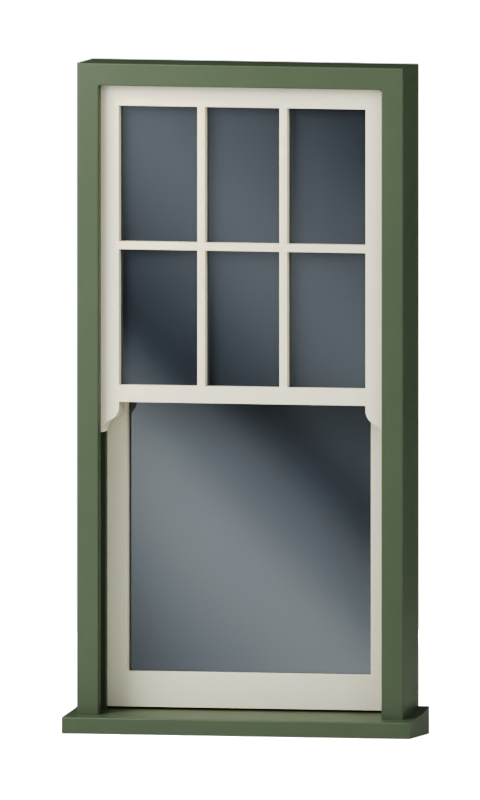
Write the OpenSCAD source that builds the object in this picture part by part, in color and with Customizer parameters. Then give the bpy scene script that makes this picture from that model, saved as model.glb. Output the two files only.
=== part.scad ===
// Vertical sliding sash window in its own timber frame.
// A six-pane upper sash slides in the outer channel, a one-pane lower sash in the inner one.
// Spiral balances, let into the sashes' outer edges, carry their weight.
// X runs across the window, Y from outside to inside, Z up.
// The origin is on the sill's underside, at the middle of the overall width and depth.

/* [Frame] */
// Width over the jambs
frame_w = 900; // [720:10:1300]
// Height from the sill's underside to the head's top
frame_h = 1800; // [1500:10:2300]
// Face width of the jambs and the head, seen from outside
face_w = 60; // [52:1:90]
// Thickness of the outer linings
outer_lining_t = 26; // [20:1:34]
// Thickness of the inner linings and the staff beads
inner_lining_t = 14.6; // [12:0.1:22]
// How far the linings and beads stand in front of the channel's floor
lip = 13; // [10:0.5:18]
// Depth of the housings that take the jambs' tops
head_housing = 10; // [6:1:16]
// Radius of the frame's rounded arrises
frame_arris = 4; // [1:0.5:8]
// Radius of the coves in the head lining's two inner corners
corner_cove = 8; // [2:1:16]
// Width of the parting beads, front to back
parting_w = 18; // [14:0.5:24]
// Depth of the grooves that hold the parting beads
parting_groove = 6; // [4:0.5:10]
// Height of the staff beads over the edge that they cover
staff_w = 22; // [18:1:30]

/* [Sill] */
// How far the sill stands in front of the linings
sill_nose = 50; // [30:1:90]
// Length of each horn past the jambs
sill_horn = 29.5; // [0:0.5:60]
// Height of the sill's front face
sill_front_h = 43.7; // [36:0.1:60]
// Slope of the weathered top, in degrees
weather_slope = 5.5; // [3:0.5:8]
// Slope of the seat under the lower sash, in degrees
seat_slope = 11.3; // [9:0.1:14]
// Height of the upstand behind the lower sash over the seat's top
upstand_h = 3.7; // [2:0.1:12]
// Radius of the drip groove under the nose
drip_r = 4; // [2:0.5:6]

/* [Sashes] */
// Thickness of both sashes
sash_t = 57; // [48:1:68]
// Gap between a sash's edge and the channel's floor
side_gap = 2; // [1:0.5:4]
// Gap between the upper sash and the outer linings
front_gap = 0.8; // [0.5:0.1:2]
// Gap between a sash and the bead behind or in front of it
bead_gap = 1.5; // [0.8:0.1:3]
// Width of the upper sash's stiles
upper_stile_w = 61; // [52:1:80]
// Width of the lower sash's stiles
lower_stile_w = 65; // [52:1:80]
// Height of the upper sash's top rail
top_rail_h = 66; // [56:1:90]
// Height of the meeting rails
meeting_h = 46; // [38:1:60]
// Height of the meeting rails' undersides over the sill's underside
meeting_z = 888.5; // [700:0.5:1150]
// Height of the lower sash's bottom rail
bottom_rail_h = 96; // [80:1:140]
// Height of the drip gap under the bottom rail's front
drip_gap = 5.5; // [3:0.5:9]
// Running gap between the bottom rail and its seat
seat_gap = 0.5; // [0.3:0.1:2]
// Gap between the two meeting rails' splayed faces
splay_gap = 1.5; // [1:0.1:3]
// Lean of the meeting rails' splayed faces, in degrees
splay_angle = 11; // [6:0.5:16]
// Radius of the sashes' front arrises
sash_arris = 1.5; // [0.5:0.5:4]

/* [Horns] */
// Straight length under the meeting rail
horn_straight = 12.5; // [6:0.5:24]
// Radius of the upper, convex curve
horn_convex_r = 39; // [24:1:44]
// Radius of the lower, concave curve
horn_concave_r = 37; // [20:1:40]
// Arc that the convex curve turns through, in degrees
horn_turn = 66; // [50:1:75]

/* [Glazing] */
// Face width of the glazing bars
bar_w = 22; // [18:1:30]
// Distance of the vertical bars from the middle
bar_offset = 113.2; // [80:0.1:160]
// Depth from the sash's face to the glass
glass_setback = 24; // [16:1:30]
// Thickness of the glass
glass_t = 6; // [4:0.5:10]
// Depth of the glazing rebates
rebate = 8; // [6:0.5:12]
// Gap between a pane's edge and the rebate's floor
glass_edge_gap = 2; // [1:0.5:4]
// Free room behind the glass in the meeting rails' grooves
groove_play = 2; // [1:0.5:3]

/* [Balances] */
// Outer diameter of the balance tubes
tube_d = 17; // [14:0.5:22]
// Wall of the balance tubes
tube_wall = 1; // [0.8:0.1:2]
// Gap around a tube in its groove
tube_gap = 1; // [0.5:0.1:2]
// Diameter over the spiral rod
rod_d = 6; // [4:0.5:8]
// Length of rod left in its tube when it is drawn right out
rod_engaged = 60; // [40:5:120]
// Radial gap between the rod and its nut
nut_gap = 0.3; // [0.2:0.05:0.6]
// Gap over the tubes' tops
tube_top_gap = 8; // [4:1:20]
// Height of the sealed top plug with its fixing lug
plug_h = 12; // [10:1:20]
// Height of the foot that fixes a rod to its sash
foot_h = 12; // [9:1:18]
// Outer diameter of the coiled spring
spring_d = 13; // [10:0.5:15]
// Inner diameter of the coiled spring
spring_bore = 9; // [7:0.5:11]

/* [Hardware] */
// Distance of each sash lift from the middle
lift_offset = 170; // [90:5:260]
// Width of a sash lift
lift_w = 44; // [36:1:60]
// Height of a sash lift's plate
lift_h = 44; // [38:1:60]
// Thickness of all the hardware's plates
plate_t = 3; // [2:0.5:4]
// Inner radius of a sash lift's hook
hook_r = 10; // [8:1:16]
// Gap between the sill's staff bead and a sash lift's foot
lift_clear = 2.1; // [1:0.1:12]
// Length of the sash fastener's base plate
fastener_l = 62; // [50:1:80]
// Width of the sash fastener's base plate
fastener_w = 24; // [18:1:30]
// Diameter of the sash fastener's pivot pin
pivot_d = 8; // [6:0.5:10]
// Radial gap between the pivot pin and its arm
pivot_gap = 0.1; // [0.05:0.05:0.3]
// Length of the sash fastener's arm
arm_l = 46; // [36:1:52]
// Length of the keep
keep_l = 40; // [30:1:60]
// Width of the keep
keep_w = 24; // [16:1:26]
// Shank diameter of the screws
screw_d = 3.5; // [2.5:0.5:4.5]
// Length of the fastener's and lifts' screws under their heads
screw_l = 18; // [12:1:25]
// Length of the screws that fix the balances
balance_screw_l = 26; // [22:1:32]

/* [Hidden] */
$fn = 48;
eps = 0.01;

green = [0.40, 0.45, 0.36];
cream = [0.84, 0.82, 0.77];
slate = [0.30, 0.33, 0.35];
brass = [0.78, 0.62, 0.30];
steel = [0.72, 0.73, 0.74];
grey = [0.45, 0.46, 0.48];

// Stations across the window, from the middle outwards
half_w = frame_w / 2;
lip_x = half_w - face_w;
channel_x = lip_x + lip;
sash_x = channel_x - side_gap;
upper_sight_x = sash_x - upper_stile_w;
lower_sight_x = sash_x - lower_stile_w;
staff_x = lip_x + staff_w;
rail_wing_x = lip_x - side_gap;
sill_x = half_w + sill_horn;

// Stations from the outside inwards, with the linings' face at zero
upper_y = outer_lining_t + front_gap;
parting_y = upper_y + sash_t + bead_gap;
lower_y = parting_y + parting_w + bead_gap;
staff_y = lower_y + sash_t + bead_gap;
frame_d = staff_y + inner_lining_t;
glass_back = glass_setback + glass_t;
splay_y = (upper_y + sash_t + lower_y) / 2;
hook_t = plate_t;
lift_reach = plate_t + 2 * hook_r + hook_t;
inner_reach = max(frame_d, lower_y + sash_t + lift_reach);
y_mid = (inner_reach - sill_nose) / 2;

// Stations upwards from the sill's underside
lip_z = frame_h - face_w;
channel_z = lip_z + lip;
sash_top_z = channel_z - side_gap;
staff_z = lip_z + staff_w;
meeting_top_z = meeting_z + meeting_h;
upper_sight_top = sash_top_z - top_rail_h;
cross_bar_z = (meeting_top_z + upper_sight_top) / 2;
function weather_z(y) = sill_front_h + (y + sill_nose) * tan(weather_slope);
function seat_z(y) = weather_z(lower_y) + (y - lower_y) * tan(seat_slope);
upstand_z = seat_z(staff_y) + upstand_h;
bottom_z = weather_z(lower_y) + drip_gap;
bottom_sight_z = bottom_z + bottom_rail_h;
drip_end_y = lower_y + (drip_gap - seat_gap) / tan(seat_slope);

// Sight openings of the upper sash: three columns from left to right, and two rows
columns = [
    [-upper_sight_x, -bar_offset - bar_w / 2],
    [-bar_offset + bar_w / 2, bar_offset - bar_w / 2],
    [bar_offset + bar_w / 2, upper_sight_x]
];
rows = [[meeting_top_z, cross_bar_z - bar_w / 2], [cross_bar_z + bar_w / 2, upper_sight_top]];

// Joinery: a tenon starts tenon_y in front of the glass
tenon_t = 16;
tenon_l = 32;
tenon_shoulder = 10;
tenon_gap = 0.2;
tenon_y = 4;
parting_arris = 2;
bead_back = 3;
bead_edge_share = 0.45;
// The horn's two curves cross by this much where they run into each other
curve_cross = 0.01;

// Balances: the tube stands in a groove in the middle of the stile's edge
groove_w = tube_d + 2 * tube_gap;
tube_x = sash_x - tube_gap - tube_d / 2;
tube_top = channel_z - tube_top_gap;
upper_foot_drop = 4;
lower_foot_rise = 20;
foot_clear = 2;
foot_back = 1;
spring_end = 14;
rod_end = 33;
upper_foot_z = meeting_z - upper_foot_drop;
lower_foot_z = bottom_z + lower_foot_rise;
nut_flange = 2;
nut_l = 14;
nut_fit = 0.1;
tube_low = upper_foot_z + foot_h + foot_clear + nut_flange;
spring_low = tube_low + nut_l + spring_end;
lug_w = 12;
lug_screw_inset = 3;
upper_mid_y = upper_y + sash_t / 2;
lower_mid_y = lower_y + sash_t / 2;
// At rest the upper sash's rods are run right in, and the lower sash's are drawn right out
upper_rod_top = tube_top - plug_h - rod_end;
lower_rod_top = tube_low + rod_engaged;

// Hardware
pivot_y = lower_y + 25;
pivot_head_t = 2;
pivot_head_lip = 2;
hub_d = 18;
hub_h = 8;
hub_gap_low = 0.3;
hub_gap_top = 0.7;
pivot_head_z = plate_t + hub_gap_low + hub_h + hub_gap_top;
arm_t = 5;
arm_w = 9;
arm_rise = 2;
knob_d = 14;
keep_y = upper_y + glass_back + groove_play + 4;
keep_post_d = 7;
keep_post_h = 10;
keep_head_d = 13;
keep_head_t = 2.5;
lift_z = upstand_z + staff_w + lift_clear + lift_h / 2;
lift_screw_dx = lift_w / 2 - 8;
lift_screw_dz = lift_h / 2 - 7;
fastener_screw_dx = fastener_l / 2 - 8;
keep_screw_dx = keep_l / 2 - 7;
screw_head_d = 2 * screw_d;
screw_head_h = 1.2;
screw_gap = 0.1;
driver_room = 20;

// ---- shapes that several pieces share ----

// Puts a piece drawn from the linings' face at its place about the middle of the depth
module placed() {
    translate([0, -y_mid, 0]) children();
}

// Extrudes a section drawn as (Y, Z) along X
module along_x(x0, x1) {
    translate([x0, 0, 0]) rotate([90, 0, 90]) linear_extrude(x1 - x0) children();
}

// Extrudes a shape drawn as (X, Z) along Y
module along_y(y0, y1) {
    translate([0, y1, 0]) rotate([90, 0, 0]) linear_extrude(y1 - y0) children();
}

// Extrudes a section drawn as (X, Y) along Z
module along_z(z0, z1) {
    translate([0, 0, z0]) linear_extrude(z1 - z0) children();
}

// Rectangle with both corners on its low-Y side rounded
module rounded_front(x0, x1, y0, y1, r) {
    translate([x0, y0 + r]) square([x1 - x0, y1 - y0 - r]);
    translate([x0 + r, y0]) square([x1 - x0 - 2 * r, y1 - y0]);
    for (x = [x0 + r, x1 - r]) translate([x, y0 + r]) circle(r);
}

// Box given by its two corners
module block(a, b) {
    translate(a) cube(b - a);
}

// Waste outside a rounded arris: the corner is at the origin and the wood lies towards +, +
module arris_waste(r) {
    difference() {
        translate([-1, -1]) square(r + 1);
        translate([r, r]) circle(r);
    }
}

// Cuts for the front arris of an upright at x, where the wood lies on the given side of it
module upright_arris(x, side, face_y, z0, z1, r) {
    along_z(z0, z1) translate([x, face_y]) mirror([side < 0 ? 1 : 0, 0]) arris_waste(r);
}

// Cuts for the front arris of a level piece at z, where the wood lies on the given side of it
module level_arris(z, side, face_y, x0, x1, r) {
    along_x(x0, x1) translate([face_y, z]) mirror([0, side < 0 ? 1 : 0]) arris_waste(r);
}

// Left and right pieces are mirror images
module left_hand() {
    mirror([1, 0, 0]) children();
}

// ---- frame ----

// Sill section: weathered top, steeper seat under the lower sash, upstand behind it
module sill_section() {
    r = frame_arris;
    nose_x = -sill_nose + r;
    nose_z = weather_z(nose_x) - r / cos(weather_slope);
    difference() {
        union() {
            polygon([
                [-sill_nose, 0], [frame_d, 0], [frame_d, upstand_z], [staff_y, upstand_z],
                [staff_y, seat_z(staff_y)], [lower_y, weather_z(lower_y)],
                [nose_x - r * sin(weather_slope), nose_z + r * cos(weather_slope)], [-sill_nose, nose_z]
            ]);
            translate([nose_x, nose_z]) circle(r);
        }
        translate([-sill_nose / 2, 0]) circle(drip_r);
    }
}

module sill() {
    color(green) placed() along_x(-sill_x, sill_x) sill_section();
}

// Everything below the sill's top, for cutting the uprights' feet to fit it
module below_sill_top() {
    along_x(-sill_x - 1, sill_x + 1) polygon([
        [-sill_nose - 1, -1], [frame_d + 1, -1], [frame_d + 1, upstand_z], [staff_y, upstand_z],
        [staff_y, seat_z(staff_y)], [lower_y, weather_z(lower_y)], [-sill_nose - 1, weather_z(-sill_nose - 1)]
    ]);
}

module jamb() {
    color(green) placed() difference() {
        block([channel_x, outer_lining_t, 0], [half_w, staff_y, channel_z + head_housing]);
        below_sill_top();
        block([channel_x - 1, parting_y, 0],
            [channel_x + parting_groove, parting_y + parting_w, channel_z + head_housing + 1]);
        for (y = [upper_mid_y, lower_mid_y]) lug_screw_at(y) screw_hole(balance_screw_l);
    }
}

module head() {
    color(green) placed() difference() {
        block([-half_w, outer_lining_t, channel_z], [half_w, staff_y, frame_h]);
        for (s = [0, 1]) mirror([s, 0, 0])
            block([channel_x, outer_lining_t - 1, channel_z - 1],
                [half_w + 1, staff_y + 1, channel_z + head_housing]);
        block([-channel_x, parting_y, channel_z - 1],
            [channel_x, parting_y + parting_w, channel_z + parting_groove]);
    }
}

module outer_lining() {
    color(green) placed() difference() {
        block([lip_x, 0, 0], [half_w, outer_lining_t, lip_z]);
        upright_arris(lip_x, 1, 0, -1, lip_z + 1, frame_arris);
        upright_arris(half_w, -1, 0, -1, lip_z + 1, frame_arris);
        below_sill_top();
    }
}

// Its lower arris stops at the side linings, and coves soften the two inner corners
module outer_lining_head() {
    color(green) placed() {
        difference() {
            block([-half_w, 0, lip_z], [half_w, outer_lining_t, frame_h]);
            level_arris(lip_z, 1, 0, -lip_x, lip_x, frame_arris);
            level_arris(frame_h, -1, 0, -half_w - 1, half_w + 1, frame_arris);
            for (s = [-1, 1]) upright_arris(s * half_w, -s, 0, lip_z - 1, frame_h + 1, frame_arris);
        }
        for (s = [0, 1]) mirror([s, 0, 0]) along_y(frame_arris, outer_lining_t)
            translate([lip_x - corner_cove, lip_z - corner_cove]) difference() {
                square([corner_cove, corner_cove + eps]);
                circle(corner_cove);
            }
    }
}

module inner_lining() {
    color(green) placed() block([staff_x, staff_y, upstand_z], [half_w, frame_d, staff_z]);
}

module inner_lining_head() {
    color(green) placed() block([-half_w, staff_y, staff_z], [half_w, frame_d, frame_h]);
}

module parting_bead() {
    color(green) placed() difference() {
        along_z(0, channel_z) mirror([1, -1])
            rounded_front(parting_y, parting_y + parting_w, lip_x, channel_x + parting_groove, parting_arris);
        below_sill_top();
    }
}

module parting_bead_head() {
    color(green) placed()
        block([-lip_x, parting_y, lip_z], [lip_x, parting_y + parting_w, channel_z + parting_groove]);
}

// Staff bead section from its inner edge (0) outwards, with the room-side arris rounded
module staff_section() {
    r = inner_lining_t / 2;
    square([staff_w, inner_lining_t - r]);
    translate([r, 0]) square([staff_w - r, inner_lining_t]);
    translate([r, inner_lining_t - r]) circle(r);
}

module staff_bead() {
    color(green) placed() along_z(upstand_z + staff_w, lip_z)
        translate([lip_x, staff_y]) staff_section();
}

module staff_bead_head() {
    color(green) placed() along_x(-staff_x, staff_x)
        translate([staff_y, lip_z]) mirror([1, -1]) staff_section();
}

module staff_bead_sill() {
    color(green) placed() along_x(-staff_x, staff_x)
        translate([staff_y, upstand_z + staff_w]) mirror([0, 1]) mirror([1, -1]) staff_section();
}

// ---- sash joinery ----

// Tenon on a rail's right end; with a gap it cuts the matching mortise
module tenon(sight_x, face_y, z0, z1, gap) {
    y0 = face_y + glass_setback - tenon_y;
    block([sight_x - eps, y0 - gap, z0 - gap], [sight_x + tenon_l + gap, y0 + tenon_t + gap, z1 + gap]);
}

module rail_tenons(sight_x, face_y, z0, z1) {
    for (s = [0, 1]) mirror([s, 0, 0]) tenon(sight_x, face_y, z0, z1, 0);
}

// Groove for the balance in a stile's outer edge, from its floor up
module balance_groove(mid_y, floor_z) {
    block([sash_x - groove_w, mid_y - groove_w / 2, floor_z],
        [sash_x + 1, mid_y + groove_w / 2, sash_top_z + 1]);
}

// Rebate for the glass along a stile, open to the inside between two heights
module stile_rebate(sight_x, face_y, z0, z1) {
    block([sight_x - 1, face_y + glass_setback, z0], [sight_x + rebate, face_y + sash_t + 1, z1]);
}

// Groove that takes the pane's edge, along a meeting rail and into the stiles beside it
module pane_groove(x0, x1, face_y, z0, z1) {
    block([x0, face_y + glass_setback, z0], [x1, face_y + glass_back + groove_play, z1]);
}

// Ogee horn drawn from the stile's inner edge outwards, under the meeting rail
module horn_shape(w) {
    turn_x = horn_convex_r * (1 - cos(horn_turn));
    apart = horn_convex_r + horn_concave_r - curve_cross;
    tip_z = -horn_straight - apart * sin(horn_turn);
    difference() {
        translate([0, tip_z]) square([w, -tip_z]);
        difference() {
            translate([-1, tip_z - 1]) square([turn_x + 1, -horn_straight - tip_z + 1]);
            translate([horn_convex_r, -horn_straight]) circle(horn_convex_r, $fn = 96);
        }
        translate([horn_convex_r - apart * cos(horn_turn), tip_z]) circle(horn_concave_r, $fn = 96);
    }
}

// ---- upper sash ----

module upper_stile() {
    color(cream) placed() difference() {
        union() {
            block([upper_sight_x, upper_y, meeting_z - horn_straight / 2],
                [sash_x, upper_y + sash_t, sash_top_z]);
            along_y(upper_y, upper_y + sash_t)
                translate([upper_sight_x, meeting_z]) horn_shape(upper_stile_w);
        }
        for (z = rows) upright_arris(upper_sight_x, 1, upper_y, z[0], z[1], sash_arris);
        stile_rebate(upper_sight_x, upper_y, meeting_top_z, upper_sight_top + rebate);
        pane_groove(upper_sight_x - 1, upper_sight_x + rebate, upper_y,
            meeting_top_z - rebate, meeting_top_z + 1);
        tenon(upper_sight_x, upper_y, upper_sight_top + rebate + tenon_shoulder / 2,
            sash_top_z - tenon_shoulder, tenon_gap);
        tenon(upper_sight_x, upper_y, meeting_z + tenon_shoulder / 2,
            meeting_top_z - rebate - tenon_shoulder / 2, tenon_gap);
        balance_groove(upper_mid_y, upper_foot_z);
        foot_screw_at(upper_mid_y, upper_foot_z) screw_hole(balance_screw_l);
    }
}

module upper_top_rail() {
    color(cream) placed() {
        difference() {
            block([-upper_sight_x, upper_y, upper_sight_top], [upper_sight_x, upper_y + sash_t, sash_top_z]);
            for (x = columns) level_arris(upper_sight_top, 1, upper_y, x[0], x[1], sash_arris);
            block([-upper_sight_x - 1, upper_y + glass_setback, upper_sight_top - 1],
                [upper_sight_x + 1, upper_y + sash_t + 1, upper_sight_top + rebate]);
        }
        rail_tenons(upper_sight_x, upper_y, upper_sight_top + rebate + tenon_shoulder / 2,
            sash_top_z - tenon_shoulder);
    }
}

// How far a splayed face leans at the height z, measured from the rails' mid height
function splay_at(z) = (meeting_z + meeting_h / 2 - z) * tan(splay_angle);

module upper_meeting_rail() {
    face = splay_y - splay_gap / 2;
    color(cream) placed() {
        difference() {
            union() {
                block([-upper_sight_x, upper_y, meeting_z], [upper_sight_x, upper_y + sash_t, meeting_top_z]);
                along_x(-rail_wing_x, rail_wing_x) polygon([
                    [upper_y + sash_t, meeting_z], [face + splay_at(meeting_z), meeting_z],
                    [face + splay_at(meeting_top_z), meeting_top_z], [upper_y + sash_t, meeting_top_z]
                ]);
            }
            for (x = columns) level_arris(meeting_top_z, -1, upper_y, x[0], x[1], sash_arris);
            level_arris(meeting_z, 1, upper_y, -upper_sight_x - 1, upper_sight_x + 1, sash_arris);
            pane_groove(-upper_sight_x - 1, upper_sight_x + 1, upper_y,
                meeting_top_z - rebate, meeting_top_z + 1);
            keep_screws_at() screw_hole(screw_l);
        }
        rail_tenons(upper_sight_x, upper_y, meeting_z + tenon_shoulder / 2,
            meeting_top_z - rebate - tenon_shoulder / 2);
    }
}

// A bar is a full-width nose in front of the glass and a thin web between the panes
module upright_bar() {
    web = bar_w - 2 * rebate;
    color(cream) placed() {
        difference() {
            block([bar_offset - bar_w / 2, upper_y, meeting_top_z],
                [bar_offset + bar_w / 2, upper_y + glass_setback, upper_sight_top]);
            for (z = rows, s = [-1, 1])
                upright_arris(bar_offset + s * bar_w / 2, -s, upper_y, z[0], z[1], sash_arris);
        }
        block([bar_offset - web / 2, upper_y + glass_setback - eps, meeting_top_z],
            [bar_offset + web / 2, upper_y + sash_t, upper_sight_top + rebate]);
    }
}

module cross_bar(x0, x1) {
    web = bar_w - 2 * rebate;
    color(cream) placed() {
        along_x(x0, x1) mirror([1, -1]) rounded_front(cross_bar_z - bar_w / 2,
            cross_bar_z + bar_w / 2, upper_y, upper_y + glass_setback, sash_arris);
        block([x0 - rebate, upper_y + glass_setback - eps, cross_bar_z - web / 2],
            [x1 + rebate, upper_y + sash_t, cross_bar_z + web / 2]);
    }
}

module pane(x, z, face_y) {
    bite = rebate - glass_edge_gap;
    color(slate) placed() block([x[0] - bite, face_y + glass_setback, z[0] - bite],
        [x[1] + bite, face_y + glass_back, z[1] + bite]);
}

// Splayed bead section: from the sight line (0) out to the rebate's wall, from the glass inwards
module glazing_bead_section() {
    deep = sash_t - glass_back;
    polygon([
        [0, 0], [rebate, 0], [rebate, deep], [rebate - bead_back, deep], [0, deep * bead_edge_share]
    ]);
}

module upright_bead(x, side, face_y, z0, z1) {
    along_z(z0, z1) translate([x, face_y + glass_back]) mirror([side < 0 ? 1 : 0, 0])
        glazing_bead_section();
}

module level_bead(z, side, face_y, x0, x1) {
    along_x(x0, x1) translate([face_y + glass_back, z]) mirror([0, side < 0 ? 1 : 0])
        mirror([1, -1]) glazing_bead_section();
}

// The pane's groove in a meeting rail needs no bead
module upper_glazing_beads() {
    color(cream) placed() for (x = columns, row = [0, 1]) {
        z = rows[row];
        low = row == 0 ? z[0] : z[0] - rebate;
        upright_bead(x[0], -1, upper_y, low, z[1] + rebate);
        upright_bead(x[1], 1, upper_y, low, z[1] + rebate);
        level_bead(z[1], 1, upper_y, x[0], x[1]);
        if (row == 1) level_bead(z[0], -1, upper_y, x[0], x[1]);
    }
}

// ---- lower sash ----

// Room for the sill under the lower sash: a drip gap in front, then the seat's slope
module under_lower_sash() {
    far_y = lower_y + sash_t + 1;
    along_x(-sash_x - 1, sash_x + 1) polygon([
        [lower_y - 1, 0], [far_y, 0], [far_y, seat_z(far_y) + seat_gap],
        [drip_end_y, bottom_z], [lower_y - 1, bottom_z]
    ]);
}

module lower_stile() {
    color(cream) placed() difference() {
        block([lower_sight_x, lower_y, bottom_z - 1], [sash_x, lower_y + sash_t, meeting_top_z]);
        upright_arris(lower_sight_x, 1, lower_y, bottom_sight_z, meeting_z, sash_arris);
        upright_arris(sash_x, -1, lower_y, bottom_z - 1, meeting_top_z + 1, sash_arris);
        level_arris(bottom_z, 1, lower_y, lower_sight_x - 1, sash_x + 1, sash_arris);
        under_lower_sash();
        stile_rebate(lower_sight_x, lower_y, bottom_sight_z - rebate, meeting_z);
        pane_groove(lower_sight_x - 1, lower_sight_x + rebate, lower_y, meeting_z - 1, meeting_z + rebate);
        tenon(lower_sight_x, lower_y, meeting_z + rebate + tenon_shoulder / 2,
            meeting_top_z - tenon_shoulder / 2, tenon_gap);
        tenon(lower_sight_x, lower_y, bottom_z + 2 * tenon_shoulder,
            bottom_sight_z - rebate - tenon_shoulder, tenon_gap);
        balance_groove(lower_mid_y, lower_foot_z);
        foot_screw_at(lower_mid_y, lower_foot_z) screw_hole(balance_screw_l);
    }
}

module lower_meeting_rail() {
    face = splay_y + splay_gap / 2;
    color(cream) placed() {
        difference() {
            union() {
                block([-lower_sight_x, lower_y, meeting_z],
                    [lower_sight_x, lower_y + sash_t, meeting_top_z]);
                along_x(-rail_wing_x, rail_wing_x) polygon([
                    [lower_y, meeting_z], [face + splay_at(meeting_z), meeting_z],
                    [face + splay_at(meeting_top_z), meeting_top_z], [lower_y, meeting_top_z]
                ]);
            }
            pane_groove(-lower_sight_x - 1, lower_sight_x + 1, lower_y, meeting_z - 1, meeting_z + rebate);
            fastener_screws_at() screw_hole(screw_l);
        }
        rail_tenons(lower_sight_x, lower_y, meeting_z + rebate + tenon_shoulder / 2,
            meeting_top_z - tenon_shoulder / 2);
    }
}

module bottom_rail() {
    color(cream) placed() {
        difference() {
            block([-lower_sight_x, lower_y, bottom_z - 1], [lower_sight_x, lower_y + sash_t, bottom_sight_z]);
            level_arris(bottom_sight_z, -1, lower_y, -lower_sight_x - 1, lower_sight_x + 1, sash_arris);
            level_arris(bottom_z, 1, lower_y, -lower_sight_x - 1, lower_sight_x + 1, sash_arris);
            under_lower_sash();
            block([-lower_sight_x - 1, lower_y + glass_setback, bottom_sight_z - rebate],
                [lower_sight_x + 1, lower_y + sash_t + 1, bottom_sight_z + 1]);
            lift_screws_at() screw_hole(screw_l);
        }
        rail_tenons(lower_sight_x, lower_y, bottom_z + 2 * tenon_shoulder,
            bottom_sight_z - rebate - tenon_shoulder);
    }
}

module lower_glazing_beads() {
    color(cream) placed() {
        upright_bead(-lower_sight_x, -1, lower_y, bottom_sight_z - rebate, meeting_z);
        upright_bead(lower_sight_x, 1, lower_y, bottom_sight_z - rebate, meeting_z);
        level_bead(bottom_sight_z, -1, lower_y, -lower_sight_x, lower_sight_x);
    }
}

// ---- balances ----

// Tube with a solid top plug, whose lug reaches the jamb
module balance_tube(mid_y) {
    color(steel) placed() difference() {
        union() {
            translate([tube_x, mid_y, tube_low]) cylinder(h = tube_top - tube_low, d = tube_d);
            block([tube_x, mid_y - lug_w / 2, tube_top - plug_h], [channel_x, mid_y + lug_w / 2, tube_top]);
        }
        translate([tube_x, mid_y, tube_low - 1])
            cylinder(h = tube_top - plug_h - tube_low + 1, d = tube_d - 2 * tube_wall);
        lug_screw_at(mid_y) screw_hole(balance_screw_l);
    }
}

// The spiral rod's round envelope, from its foot up into the tube
module balance_rod(mid_y, foot_z, top_z) {
    color(steel) placed() translate([tube_x, mid_y, foot_z + foot_h])
        cylinder(h = top_z - foot_z - foot_h, d = rod_d);
}

module rod_feet(mid_y, foot_z) {
    color(grey) placed() for (s = [0, 1]) mirror([s, 0, 0]) difference() {
        block([sash_x - groove_w, mid_y - tube_d / 2, foot_z],
            [sash_x - foot_back, mid_y + tube_d / 2, foot_z + foot_h]);
        foot_screw_at(mid_y, foot_z) screw_hole(balance_screw_l);
    }
}

// Flanged nylon nuts in the tubes' mouths, which the spiral rods turn as they pass
module balance_nuts() {
    color("white") placed() for (s = [0, 1], y = [upper_mid_y, lower_mid_y])
        mirror([s, 0, 0]) translate([tube_x, y, tube_low - nut_flange]) difference() {
            union() {
                cylinder(h = nut_flange, d = tube_d);
                cylinder(h = nut_flange + nut_l, d = tube_d - 2 * tube_wall - 2 * nut_fit);
            }
            translate([0, 0, -1]) cylinder(h = nut_flange + nut_l + 2, d = rod_d + 2 * nut_gap);
        }
}

// Close-coiled springs, drawn as sleeves of the coil's size, hung from the tubes' plugs
module balance_springs() {
    spring_l = tube_top - plug_h - spring_low;
    color(grey) placed() for (s = [0, 1], y = [upper_mid_y, lower_mid_y])
        mirror([s, 0, 0]) translate([tube_x, y, spring_low]) difference() {
            cylinder(h = spring_l, d = spring_d);
            translate([0, 0, -1]) cylinder(h = spring_l + 2, d = spring_bore);
        }
}

// ---- hardware ----

// Screw drawn with its head's top at the origin, driven towards -Z
module screw(l) {
    translate([0, 0, -screw_head_h]) cylinder(h = screw_head_h, d = screw_head_d);
    translate([0, 0, -screw_head_h - l]) cylinder(h = l + eps, d = screw_d);
}

// Hole for that screw, with its head's recess carried on up to let the driver in
module screw_hole(l) {
    translate([0, 0, -screw_head_h])
        cylinder(h = screw_head_h + driver_room, d = screw_head_d + 2 * screw_gap);
    translate([0, 0, -screw_head_h - l - 1]) cylinder(h = l + 2, d = screw_d + 2 * screw_gap);
}

// Places of the screws, each turned so that it is driven into the wood behind
module lug_screw_at(mid_y) {
    translate([tube_x - lug_screw_inset, mid_y, tube_top - plug_h / 2]) rotate([0, -90, 0]) children();
}

module foot_screw_at(mid_y, foot_z) {
    translate([sash_x - foot_back, mid_y, foot_z + foot_h / 2]) rotate([0, 90, 0]) children();
}

module keep_screws_at() {
    for (s = [-1, 1])
        translate([s * keep_screw_dx, keep_y + keep_w / 2, meeting_top_z + plate_t]) children();
}

module fastener_screws_at() {
    for (s = [-1, 1])
        translate([s * fastener_screw_dx, pivot_y, meeting_top_z + plate_t]) children();
}

module lift_screws_at() {
    for (s = [-1, 1])
        translate([s * lift_offset, lower_y + sash_t + plate_t, lift_z + lift_screw_dz])
            for (dx = [-1, 1]) translate([dx * lift_screw_dx, 0, 0]) rotate([-90, 0, 0]) children();
}

module upper_sash_screws() {
    color(steel) placed() {
        keep_screws_at() screw(screw_l);
        for (s = [0, 1]) mirror([s, 0, 0]) foot_screw_at(upper_mid_y, upper_foot_z) screw(balance_screw_l);
    }
}

module lower_sash_screws() {
    color(brass) placed() {
        fastener_screws_at() screw(screw_l);
        lift_screws_at() screw(screw_l);
        for (s = [0, 1]) mirror([s, 0, 0]) foot_screw_at(lower_mid_y, lower_foot_z) screw(balance_screw_l);
    }
}

module balance_screws() {
    color(steel) placed() for (s = [0, 1], y = [upper_mid_y, lower_mid_y])
        mirror([s, 0, 0]) lug_screw_at(y) screw(balance_screw_l);
}

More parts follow.
